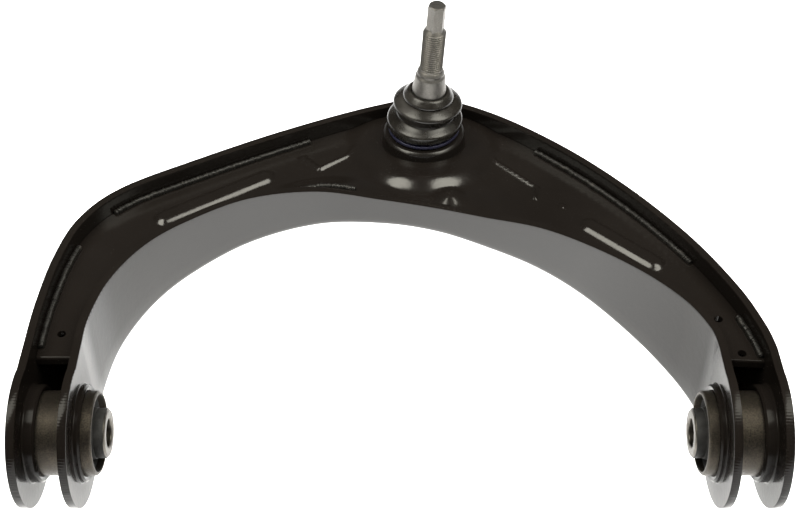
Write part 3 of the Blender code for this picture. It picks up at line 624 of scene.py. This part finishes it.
# ---- bushings ----------------------------------------------------------------------
def bushing_pieces(side_name, finishes):
    """Make the can, its rubber, the inner sleeve and the ear collars."""
    centre = BUSHINGS[side_name]
    side = 1.0 if centre.x > 0 else -1.0
    # Local +Z runs towards the arch, so that both bushings share one profile.
    turn = Matrix.Rotation(-side * pi / 2, 4, "Y")
    set_in = Matrix.Translation(centre) @ turn
    half = CAN_LENGTH / 2
    bore = CAN_RADIUS - CAN_WALL
    lip = 0.0010
    can = turned(side_name + "_can", rounded((
        (CAN_RADIUS - lip, half), (CAN_RADIUS, half - lip), (CAN_RADIUS, -half + lip),
        (CAN_RADIUS - lip, -half), (bore, -half), (bore, half)), 0.0005), finishes["can"])
    outer = bore - GAP
    core = SLEEVE_RADIUS + GAP
    dish = half - 0.0030
    valley = half - 0.0075
    shoulder = half - 0.0010
    rubber = turned(side_name + "_rubber", rounded((
        (outer, dish), (outer, -dish), (outer - 0.0030, -valley), (core + 0.0020, -valley),
        (core + 0.0004, -shoulder), (core, -shoulder), (core, shoulder),
        (core + 0.0004, shoulder), (core + 0.0020, valley), (outer - 0.0030, valley)),
        0.0016, 5), finishes["rubber"])
    end = SLEEVE_LENGTH / 2
    ease_off = 0.0008
    sleeve = turned(side_name + "_sleeve", rounded((
        (SLEEVE_RADIUS - ease_off, end), (SLEEVE_RADIUS, end - ease_off),
        (SLEEVE_RADIUS, -end + ease_off), (SLEEVE_RADIUS - ease_off, -end),
        (SLEEVE_BORE + ease_off, -end), (SLEEVE_BORE, -end + ease_off),
        (SLEEVE_BORE, end - ease_off), (SLEEVE_BORE + ease_off, end)), 0.0003),
        finishes["sleeve"])
    # A skin of moulded rubber covers the sleeve up to its bright ends.
    skins = []
    for label, sign in (("arch", 1.0), ("outer", -1.0)):
        start, stop = sign * (shoulder - 0.0004), sign * (end - 0.0010)
        skins.append(turned(side_name + "_skin_" + label, rounded((
            (SLEEVE_RADIUS + 0.00045, start), (SLEEVE_RADIUS + 0.00045, stop),
            (SLEEVE_RADIUS - 0.0003, stop), (SLEEVE_RADIUS - 0.0003, start)), 0.0002),
            finishes["rubber"]))
    collars = []
    face = ARCH_HALF - abs(centre.x)
    spans = (("arch", -face - 0.0006, -face + COLLAR_ARCH),
             ("gap", -face - LEG_WIDTH + PLATE - 0.0006,
              -face - LEG_WIDTH + PLATE + COLLAR_GAP_SIDE))
    for label, foot, tip in spans:
        flare = 0.0012
        profile = [(CAN_RADIUS + GAP, foot), (CAN_RADIUS + GAP, tip - 0.0004),
                   (CAN_RADIUS + GAP + 0.0006, tip), (COLLAR_RADIUS - 0.0010, tip),
                   (COLLAR_RADIUS, tip - 0.0010)]
        for step in range(7):
            angle = pi / 2 * step / 6
            profile.append((COLLAR_RADIUS + flare * (1.0 - cos(angle)),
                            foot + 0.0006 + flare * (1.0 - sin(angle))))
        profile.append((COLLAR_RADIUS + flare, foot))
        collars.append(turned(side_name + "_collar_" + label, profile, finishes["paint"]))
    for piece in [can, rubber, sleeve] + skins + collars:
        stand(piece, set_in)
        smooth(piece, 40)
    return can, rubber, sleeve, skins, collars


# ---- ball joint ------------------------------------------------------------------------
def housing_pieces(finishes):
    """Make the housing and its boot ring."""
    base = TOP_Z + ORIGIN.z - BALL_CENTRE.z + GAP
    neck = BEAD_BORE - GAP
    race_top = 0.0068
    mouth = (BALL_RADIUS + GAP) * 0.905
    groove = 0.0015
    high, low = CLIP_Z + CLIP_THICK / 2 + GAP, CLIP_Z - CLIP_THICK / 2 - GAP
    housing = turned("housing_body", rounded((
        (neck, MOUTH_TOP), (neck, FLANGE_TOP), (FLANGE_RADIUS - 0.0026, FLANGE_TOP),
        (FLANGE_RADIUS - 0.0010, FLANGE_TOP - 0.0016), (FLANGE_RADIUS - 0.0006, 0.0020),
        (FLANGE_RADIUS, 0.0010), (FLANGE_RADIUS, base + 0.0012),
        (FLANGE_RADIUS - 0.0008, base), (HOUSING_RADIUS, base), (HOUSING_RADIUS, high),
        (HOUSING_RADIUS - groove, high), (HOUSING_RADIUS - groove, low),
        (HOUSING_RADIUS, low), (HOUSING_RADIUS, HOUSING_BOTTOM + 0.001),
        (HOUSING_RADIUS - 0.001, HOUSING_BOTTOM), (HOUSING_BORE, HOUSING_BOTTOM),
        (HOUSING_BORE, race_top + GAP), (mouth, race_top + GAP),
        (neck - 0.0030, MOUTH_TOP)), 0.0006, 4), finishes["housing"])
    ring_low = FLANGE_TOP + GAP + RING_LOW
    ring_high = FLANGE_TOP + GAP + RING_HIGH
    ring_inner = BEAD_BORE + BOOT_WALL + GAP
    ring = turned("boot_ring", rounded((
        (ring_inner + RING_WALL, ring_high), (ring_inner + RING_WALL, ring_low),
        (ring_inner, ring_low), (ring_inner, ring_high)), 0.0005, 4),
        finishes["ring"])
    for piece in (housing, ring):
        stand(piece, Matrix.Translation(BALL_CENTRE))
        smooth(piece, 40)
    return housing, ring


def boot_profile():
    """Return the boot's outer and inner (radius, height) lines."""
    base = FLANGE_TOP + GAP
    bead = BEAD_BORE
    lower, waist, upper = 0.0235, 0.0180, 0.0213
    shoulder = BOOT_COLLAR_BASE
    outer = [
        (0.0138, shoulder - 0.0003), (upper - 0.0046, shoulder - 0.0013),
        (upper - 0.0008, 0.0336), (upper, 0.0318), (upper - 0.0010, 0.0306),
        (waist + 0.0006, 0.0266), (waist, 0.0252), (waist + 0.0014, 0.0238),
        (lower - 0.0006, 0.0215), (lower, 0.0192), (lower - 0.0004, 0.0170),
        (bead + BOOT_WALL + 0.0012, base + BEAD_HEIGHT + 0.0006),
        (bead + BOOT_WALL, base + BEAD_HEIGHT + 0.0003), (bead + BOOT_WALL, base)]
    inner = [(bead, base), (bead, base + BEAD_HEIGHT + 0.0008),
             (lower - BOOT_WALL - 0.0003, 0.0172), (lower - BOOT_WALL, 0.0192),
             (lower - BOOT_WALL - 0.0006, 0.0210), (waist - BOOT_WALL + 0.0010, 0.0230),
             (waist - BOOT_WALL, 0.0250), (waist - BOOT_WALL + 0.0006, 0.0272),
             (upper - BOOT_WALL - 0.0008, 0.0292), (upper - BOOT_WALL, 0.0315),
             (upper - BOOT_WALL - 0.0010, 0.0334), (0.0138, shoulder - 0.0022)]
    return outer, inner


def smooth_line(points, steps):
    """Return a smooth curve through (radius, height) points."""
    points = [Vector(point) for point in points]
    found = []
    for index in range(len(points) - 1):
        before = points[max(index - 1, 0)]
        start, end = points[index], points[index + 1]
        after = points[min(index + 2, len(points) - 1)]
        for step in range(steps):
            share = step / steps
            slope = 2 * before - 5 * start + 4 * end - after
            bend = 3 * (start - end) + after - before
            found.append(start + 0.5 * share * (end - before + share * (slope + share * bend)))
    return found + [points[-1]]


def boot_pieces(finishes):
    """Make the folded boot and the collar that grips the stud."""
    outer, inner = boot_profile()
    boot = turned("boot_folds", smooth_line(outer, 6) + smooth_line(inner, 4), finishes["boot"])
    base = FLANGE_TOP + GAP + BEAD_HEIGHT
    for vertex in boot.data.vertices:
        share = float(ease((vertex.co.z - base) / (BOOT_COLLAR_BASE - base)))
        vertex.co.z -= share * vertex.co.x * sin(LEAN)
        vertex.co.x += share * BOOT_COLLAR_BASE * sin(LEAN)
    stand(boot, Matrix.Translation(BALL_CENTRE))
    bore = SEAT_RADIUS + GAP
    collar = turned("boot_lip", rounded((
        (bore + 0.0012, BOOT_COLLAR_TOP), (BOOT_COLLAR_RADIUS - 0.0026, BOOT_COLLAR_TOP - 0.0008),
        (BOOT_COLLAR_RADIUS - 0.0004, BOOT_COLLAR_BASE + 0.0014),
        (BOOT_COLLAR_RADIUS, BOOT_COLLAR_BASE), (bore, BOOT_COLLAR_BASE),
        (bore, BOOT_COLLAR_TOP - 0.0006)), 0.0009, 5), finishes["boot"])
    stand(collar, ON_STUD)
    smooth(boot, 60)
    smooth(collar, 50)
    return boot, collar


def stud_radius(turn, height):
    """Return the stud's radius at arrays of turns and heights."""
    points = (
        (-BALL_RADIUS, 0.0), (SEAT_BASE - 0.0160, NECK_RADIUS),
        (SEAT_BASE - 0.0110, NECK_RADIUS + 0.0005), (SEAT_BASE - 0.0065, SEAT_RADIUS),
        (SEAT_BASE, SEAT_RADIUS), (SEAT_TOP, SEAT_TOP_RADIUS),
        (SEAT_TOP + 0.0012, STUD_COLLAR_RADIUS - 0.0002),
        (SEAT_TOP + 0.0030, STUD_COLLAR_RADIUS), (COLLAR_TOP - 0.0022, STUD_COLLAR_RADIUS),
        (COLLAR_TOP - 0.0008, STUD_COLLAR_RADIUS - 0.0007), (COLLAR_TOP, THREAD_RADIUS - 0.0002),
        (THREAD_TOP, THREAD_RADIUS), (TIP_TOP, THREAD_RADIUS))
    radius = np.interp(height, [point[0] for point in points], [point[1] for point in points])
    ball = np.sqrt(np.maximum(BALL_RADIUS ** 2 - height ** 2, 0.0))
    low = height < SEAT_BASE - 0.0160
    radius = np.where(low, np.maximum(ball, np.where(height > 0.0, NECK_RADIUS, 0.0)), radius)
    start = COLLAR_TOP + 0.0004
    climb = (height - start) / THREAD_PITCH - turn / (2 * pi)
    ridge = np.abs((climb % 1.0) * 2.0 - 1.0)
    depth = THREAD_DEPTH * np.clip(1.25 * ridge - 0.12, 0.0, 1.0)
    depth = depth * ease((height - start) / 0.0010)
    threaded = THREAD_RADIUS - depth
    chamfer = 0.0052 + (THREAD_TOP + 0.0018 - height) * 0.85
    threaded = np.minimum(threaded, chamfer)
    flat = (turn - HEX_TURN - pi / 6) % (pi / 3) - pi / 6
    hexagon = HEX_ACROSS_FLATS / 2 / np.cos(flat)
    tip_chamfer = HEX_ACROSS_FLATS / 2 + 0.00005 + (TIP_TOP - 0.0004 - height) * 0.9
    hexagon = np.minimum(hexagon, tip_chamfer)
    on_thread = (height > start) & (height <= THREAD_TOP + 0.0019)
    radius = np.where(on_thread, np.maximum(threaded, hexagon), radius)
    return np.where(height > THREAD_TOP + 0.0019, hexagon, radius)


def stud_piece(finish):
    """Make the ball stud with its thread and hexagonal tip."""
    sides = 144
    turns = np.linspace(0.0, 2 * pi, sides, endpoint=False)
    ball_top = sqrt(BALL_RADIUS ** 2 - NECK_RADIUS ** 2)
    ball = [-BALL_RADIUS * cos(turn) for turn in np.linspace(0.08, pi / 2, 14)]
    ball += [BALL_RADIUS * sin(turn)
             for turn in np.linspace(0.08, np.arcsin(ball_top / BALL_RADIUS), 10)]
    heights = np.concatenate((
        ball, np.linspace(ball_top + 0.0004, COLLAR_TOP, 90),
        np.arange(COLLAR_TOP + 0.0001, THREAD_TOP + 0.0022, THREAD_PITCH / 10),
        np.linspace(THREAD_TOP + 0.0024, TIP_TOP - 0.0016, 20),
        np.linspace(TIP_TOP - 0.0014, TIP_TOP, 10)))
    turn_grid, height_grid = np.meshgrid(turns, heights)
    radius = stud_radius(turn_grid, height_grid)
    points = np.stack((radius * np.cos(turn_grid), radius * np.sin(turn_grid), height_grid),
                      axis=-1).reshape(-1, 3)
    faces = grid_faces(len(heights), sides, wrap=True)
    bottom = len(points)
    top = bottom + 1
    last = (len(heights) - 1) * sides
    points = np.concatenate((points, ((0, 0, -BALL_RADIUS), (0, 0, TIP_TOP))))
    for side in range(sides):
        after = (side + 1) % sides
        faces.append((after, side, bottom))
        faces.append((last + side, last + after, top))
    mesh = mesh_of("threaded_stud", points, faces)
    tidy_mesh(mesh)
    stud = put(mesh, "threaded_stud", finish)
    stand(stud, ON_STUD)
    smooth(stud, 28)
    return stud


# ---- finishes ------------------------------------------------------------------------
class Finish:
    """A material under construction: its tree, shader and object coordinates."""

    def __init__(self, name, roughness, metallic=0.0):
        self.material = bpy.data.materials.new(name)
        self.material.use_nodes = True
        self.nodes = self.material.node_tree.nodes
        self.links = self.material.node_tree.links
        self.shader = self.nodes["Principled BSDF"]
        self.shader.inputs["Metallic"].default_value = metallic
        self.shader.inputs["Roughness"].default_value = roughness
        self.place = self.nodes.new("ShaderNodeTexCoord").outputs["Object"]

    def noise(self, scale, detail=3.0, roughness=0.55, place=None):
        """Return a noise value between 0 and 1."""
        node = self.nodes.new("ShaderNodeTexNoise")
        node.inputs["Scale"].default_value = scale
        node.inputs["Detail"].default_value = detail
        node.inputs["Roughness"].default_value = roughness
        self.links.new(place or self.place, node.inputs["Vector"])
        return node.outputs["Fac"]

    def cells(self, scale):
        """Return the distance to the nearest of scattered points."""
        node = self.nodes.new("ShaderNodeTexVoronoi")
        node.inputs["Scale"].default_value = scale
        self.links.new(self.place, node.inputs["Vector"])
        return node.outputs["Distance"]

    def ramp(self, value, low, high, start, end):
        """Return a value mapped from one range to another, held at its ends."""
        node = self.nodes.new("ShaderNodeMapRange")
        node.inputs["From Min"].default_value = low
        node.inputs["From Max"].default_value = high
        node.inputs["To Min"].default_value = start
        node.inputs["To Max"].default_value = end
        self.links.new(value, node.inputs["Value"])
        return node.outputs["Result"]

    def maths(self, operation, first, second):
        """Return a sum, product or other simple step of two values."""
        node = self.nodes.new("ShaderNodeMath")
        node.operation = operation
        for index, value in enumerate((first, second)):
            if isinstance(value, (int, float)):
                node.inputs[index].default_value = value
            else:
                self.links.new(value, node.inputs[index])
        return node.outputs["Value"]

    def blend(self, share, first, second):
        """Return a colour between two colours."""
        node = self.nodes.new("ShaderNodeMix")
        node.data_type = "RGBA"
        for index, value in ((6, first), (7, second)):
            if isinstance(value, tuple):
                node.inputs[index].default_value = (*value, 1.0)
            else:
                self.links.new(value, node.inputs[index])
        self.links.new(share, node.inputs[0])
        return node.outputs[2]

    def colour(self, value):
        """Use a colour on the shader."""
        self.links.new(value, self.shader.inputs["Base Color"])

    def rough(self, value):
        """Use a roughness on the shader."""
        self.links.new(value, self.shader.inputs["Roughness"])

    def bump(self, height, distance, strength=1.0):
        """Press a height into the surface."""
        node = self.nodes.new("ShaderNodeBump")
        node.inputs["Strength"].default_value = strength
        node.inputs["Distance"].default_value = distance
        self.links.new(height, node.inputs["Height"])
        self.links.new(node.outputs["Normal"], self.shader.inputs["Normal"])

    def off_axis(self, centre, turn=(0.0, 0.0, 0.0)):
        """Return distances across the local X and Y, and the distance off Z."""
        node = self.nodes.new("ShaderNodeMapping")
        node.vector_type = "TEXTURE"
        node.inputs["Location"].default_value = centre
        node.inputs["Rotation"].default_value = turn
        self.links.new(self.place, node.inputs["Vector"])
        parts = self.nodes.new("ShaderNodeSeparateXYZ")
        self.links.new(node.outputs["Vector"], parts.inputs["Vector"])
        square = self.maths("ADD", self.maths("MULTIPLY", parts.outputs["X"], parts.outputs["X"]),
                            self.maths("MULTIPLY", parts.outputs["Y"], parts.outputs["Y"]))
        return node.outputs["Vector"], parts.outputs["Z"], self.maths("POWER", square, 0.5)


EAR_DULL_FROM = 0.030        # distances from the bushing axis between which
EAR_DULL_TO = 0.110          # the coat's specular level rises
EAR_SHINE = 0.06
ARM_SHINE = 0.44


def dip_coat(name, gloss, depth):
    """Gloss black dip coat: orange peel, dust, duller patches and duller ears."""
    made = Finish(name, gloss)
    cloud = made.noise(14.0, 4.0, 0.6)
    fine = made.noise(900.0, 2.0)
    dust = made.ramp(made.cells(420.0), 0.02, 0.10, 1.0, 0.0)
    sparse = made.ramp(made.noise(60.0, 2.0), 0.55, 0.72, 0.0, 1.0)
    specks = made.maths("MULTIPLY", dust, sparse)
    base = made.blend(cloud, (0.0024, 0.0019, 0.0015), (0.0052, 0.0042, 0.0034))
    made.colour(made.blend(made.maths("MULTIPLY", specks, 0.5), base, (0.060, 0.056, 0.048)))
    made.rough(made.maths("ADD", made.ramp(cloud, 0.3, 0.7, gloss * 0.8, gloss * 1.35),
                          made.maths("MULTIPLY", specks, 0.3)))
    peel = made.maths("ADD", made.noise(330.0, 2.0), made.maths("MULTIPLY", fine, 0.25))
    made.bump(peel, depth, 0.6)
    made.shader.inputs["IOR"].default_value = 1.5
    _, _, along = made.off_axis(ORIGIN, (0.0, pi / 2, 0.0))
    strength = made.ramp(along, EAR_DULL_FROM, EAR_DULL_TO, EAR_SHINE, ARM_SHINE)
    made.links.new(strength, made.shader.inputs["Specular IOR Level"])
    made.shader.inputs["Coat Weight"].default_value = 0.03
    made.shader.inputs["Coat Roughness"].default_value = 0.10
    return made.material


def weld_coat():
    """Black coat over weld metal, rougher and with a few scale specks."""
    made = Finish("coated_weld", 0.3)
    grain = made.noise(700.0, 4.0, 0.7)
    scale = made.ramp(made.noise(240.0, 3.0), 0.58, 0.70, 0.0, 0.6)
    made.colour(made.blend(scale, (0.004, 0.0036, 0.003), (0.026, 0.023, 0.019)))
    made.rough(made.ramp(grain, 0.3, 0.7, 0.24, 0.55))
    made.bump(grain, 0.0004, 0.5)
    made.shader.inputs["Coat Weight"].default_value = 0.12
    made.shader.inputs["Coat Roughness"].default_value = 0.15
    return made.material


def raw_can():
    """Dull brown-grey steel with a sprayed, grainy film."""
    made = Finish("grainy_can_steel", 0.45, 0.85)
    grain = made.noise(1400.0, 3.0, 0.75)
    cloud = made.noise(90.0, 4.0, 0.6)
    base = made.blend(made.ramp(grain, 0.35, 0.65, 0.0, 1.0), (0.014, 0.012, 0.010),
                      (0.062, 0.052, 0.038))
    made.colour(made.blend(made.ramp(cloud, 0.35, 0.7, 0.0, 0.7), base, (0.018, 0.015, 0.012)))
    made.rough(made.ramp(grain, 0.3, 0.7, 0.30, 0.62))
    made.bump(grain, 0.0005, 0.35)
    return made.material


def turned_steel(name, centre, turn, light, dark, roughness):
    """Bright steel with the fine rings of a facing tool about its axis."""
    made = Finish(name, roughness, 1.0)
    _, _, radius = made.off_axis(centre, turn)
    rings = made.nodes.new("ShaderNodeTexNoise")
    rings.noise_dimensions = "1D"
    rings.inputs["Scale"].default_value = 5200.0
    made.links.new(radius, rings.inputs["W"])
    stain = made.noise(300.0, 4.0, 0.6)
    made.colour(made.blend(made.ramp(stain, 0.35, 0.75, 0.0, 1.0), light, dark))
    made.rough(made.ramp(rings.outputs["Fac"], 0.3, 0.7, roughness * 0.75, roughness * 1.3))
    made.bump(rings.outputs["Fac"], 0.0002, 0.3)
    return made.material


def moulded_rubber(name, colour, roughness, depth, shine):
    """Black rubber with a faint bloom and a fine moulded grain."""
    made = Finish(name, roughness)
    bloom = made.noise(70.0, 4.0, 0.6)
    grain = made.noise(1100.0, 2.0)
    lighter = tuple(min(1.0, part * 2.6 + 0.006) for part in colour)
    made.colour(made.blend(made.ramp(bloom, 0.4, 0.75, 0.0, 0.8), colour, lighter))
    made.rough(made.ramp(bloom, 0.3, 0.7, roughness * 0.8, roughness * 1.25))
    made.bump(grain, depth, 0.4)
    made.shader.inputs["Specular IOR Level"].default_value = shine
    return made.material


def phosphated_stud():
    """Satin warm grey phosphate, with painted shade darkening the thread's roots."""
    made = Finish("satin_phosphate", 0.40, 0.9)
    _, height, radius = made.off_axis(BALL_CENTRE, (0.0, LEAN, 0.0))
    grain = made.noise(1500.0, 3.0, 0.7)
    cloud = made.noise(160.0, 4.0, 0.6)
    # Painted shade: the thread's roots, between the collar and the thread's top, are coloured
    # darker.
    root = made.ramp(radius, THREAD_RADIUS - THREAD_DEPTH, THREAD_RADIUS - 0.0001, 1.0, 0.0)
    above = made.ramp(height, COLLAR_TOP - 0.0004, COLLAR_TOP + 0.0006, 0.0, 1.0)
    below = made.ramp(height, THREAD_TOP, THREAD_TOP + 0.0012, 1.0, 0.0)
    painted_root_shade = made.maths("MULTIPLY", made.maths("MULTIPLY", above, below), root)
    warm = made.blend(made.ramp(cloud, 0.3, 0.7, 0.0, 1.0), (0.105, 0.100, 0.092),
                      (0.155, 0.148, 0.136))
    warm = made.blend(made.ramp(grain, 0.45, 0.75, 0.0, 0.45), warm, (0.065, 0.060, 0.054))
    made.colour(made.blend(made.maths("MULTIPLY", painted_root_shade, 0.8), warm, (0.10, 0.094, 0.085)))
    made.rough(made.ramp(grain, 0.3, 0.7, 0.38, 0.56))
    made.bump(grain, 0.0002, 0.35)
    return made.material


def blue_paint():
    """Dark blue coated ring."""
    made = Finish("dark_blue_ring", 0.3, 0.3)
    cloud = made.noise(200.0, 3.0)
    made.colour(made.blend(cloud, (0.011, 0.011, 0.022), (0.020, 0.020, 0.040)))
    made.rough(made.ramp(cloud, 0.3, 0.7, 0.22, 0.42))
    made.bump(made.noise(900.0, 2.0), 0.0002, 0.2)
    return made.material


def plain_plastic():
    """Natural acetal bearing, slightly cloudy."""
    made = Finish("acetal_bearing", 0.45)
    cloud = made.noise(150.0, 3.0)
    made.colour(made.blend(cloud, (0.66, 0.64, 0.58), (0.78, 0.77, 0.73)))
    made.rough(made.ramp(cloud, 0.3, 0.7, 0.38, 0.55))
    return made.material


def plated(name):
    """Zinc plate with a faint bloom."""
    made = Finish(name, 0.35, 1.0)
    cloud = made.noise(240.0, 4.0, 0.6)
    made.colour(made.blend(cloud, (0.40, 0.39, 0.35), (0.62, 0.61, 0.57)))
    made.rough(made.ramp(cloud, 0.3, 0.7, 0.25, 0.5))
    made.bump(made.noise(1200.0, 2.0), 0.0002, 0.25)
    return made.material


# ---- floor, light and camera -----------------------------------------------------
FLOOR_DROP = 0.10            # floor below the arm, so its shadow spreads out
SOFTBOX_POWER = 8.4


def studio():
    """Lay a pale floor, hang soft light and set the camera."""
    scene = bpy.context.scene
    scene.view_settings.view_transform = "Standard"
    floor_finish = Finish("pale_floor", 0.9)
    cloud = floor_finish.noise(1.5, 2.0)
    floor_finish.colour(floor_finish.blend(cloud, (0.86, 0.86, 0.86), (0.88, 0.88, 0.88)))
    floor_finish.shader.inputs["Specular IOR Level"].default_value = 0.0
    half = 9.0
    low = -FLOOR_DROP
    floor = put(mesh_of("floor", ((-half, -half, low), (half, -half, low), (half, half, low),
                                  (-half, half, low)), [(0, 1, 2, 3)]),
                "floor", floor_finish.material)
    world = bpy.data.worlds.new("studio")
    scene.world = world
    world.use_nodes = True
    back = world.node_tree.nodes["Background"]
    back.inputs["Color"].default_value = (0.055, 0.053, 0.050, 1.0)
    back.inputs["Strength"].default_value = 1.0
    soft_light("overhead", (0.0, 0.0, 3.0), 5.0, 5.0, 590.0, (1.0, 1.0, 1.0), False)
    warm = (1.0, 0.97, 0.85)
    for name, across in (("left_softbox", -0.52), ("right_softbox", 0.52)):
        soft_light(name, (across, -0.14, 0.95), 0.50, 0.60, SOFTBOX_POWER, warm, True)
    eye = bpy.data.cameras.new("camera")
    eye.lens = 62.2
    eye.sensor_width = 36.0
    camera = bpy.data.objects.new("camera", eye)
    camera.location = (0.0, -0.5741, 0.6252)
    camera.rotation_euler = (radians(46.0), 0.0, 0.0)
    scene.collection.objects.link(camera)
    scene.camera = camera


def soft_light(name, place, width, height, power, colour, mirrored):
    """Hang a rectangular light aimed at the middle of the arm."""
    lamp = bpy.data.lights.new(name, "AREA")
    lamp.shape = "RECTANGLE"
    lamp.size = width
    lamp.size_y = height
    lamp.energy = power
    lamp.color = colour
    made = bpy.data.objects.new(name, lamp)
    made.location = place
    aim = Vector((0.0, 0.0, 0.05)) - Vector(place)
    made.rotation_euler = aim.to_track_quat("-Z", "Y").to_euler()
    made.visible_glossy = mirrored
    bpy.context.scene.collection.objects.link(made)


# ---- put it together -----------------------------------------------------------------
def attach(piece, body, node=None):
    """Put a piece on the body it rides on, and hide the model node it replaces."""
    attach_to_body(piece, body)
    if node:
        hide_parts(node)


def build():
    """Make every piece and say which body it rides on."""
    finishes = {
        "paint": dip_coat("black_dip_coat", 0.17, 0.00010),
        "weld": weld_coat(),
        "housing": dip_coat("black_housing_coat", 0.24, 0.00008),
        "can": raw_can(),
        "rubber": moulded_rubber("bushing_rubber_moulded", (0.006, 0.0058, 0.0052), 0.5,
                                 0.0004, 0.08),
        "boot": moulded_rubber("boot_rubber_gloss", (0.0055, 0.0048, 0.0038), 0.27, 0.00008,
                               0.38),
        "sleeve": turned_steel("faced_sleeve_steel", (0.0, ORIGIN.y, ORIGIN.z),
                               (0.0, pi / 2, 0.0), (0.12, 0.112, 0.10),
                               (0.07, 0.064, 0.056), 0.40),
        "stud": phosphated_stud(),
        "ring": blue_paint(),
        "race": plain_plastic(),
        "plated": plated("zinc_plate"),
    }
    attach(channel_shell(finishes["paint"]), "arm", "channel")
    attach(plate_sheet(finishes["paint"]), "arm", "top_plate")
    tree = ripple_tree(finishes["weld"])
    for seed, (title, first, last, wall) in enumerate(WELDS):
        bead = weld_bead(title, first, last, wall, seed + 3, tree, finishes["weld"])
        attach(bead, "arm", title)
    for side in ("left", "right"):
        can, rubber, sleeve, skins, collars = bushing_pieces(side, finishes)
        attach(can, "arm", side + "_bushing_can")
        attach(rubber, "arm", side + "_bushing_rubber")
        for collar in collars:
            attach(collar, "arm")
        attach(sleeve, side + "_sleeve", side + "_inner_sleeve")
        for skin in skins:
            attach(skin, side + "_sleeve")
    housing, ring = housing_pieces(finishes)
    attach(housing, "arm", "ball_housing")
    attach(ring, "arm", "boot_clamp_ring")
    boot, collar = boot_pieces(finishes)
    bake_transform(boot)
    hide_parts("dust_boot")
    attach(collar, "boot_collar", "boot_collar")
    attach(stud_piece(finishes["stud"]), "stud", "ball_stud")
    carried = {"upper_race": "race", "lower_race": "race", "preload_spring": "plated",
               "housing_cap": "plated", "retaining_ring": "plated"}
    for node, finish in carried.items():
        item = frame["nodes"][node]
        item.data.materials.clear()
        item.data.materials.append(finishes[finish])


build()
studio()
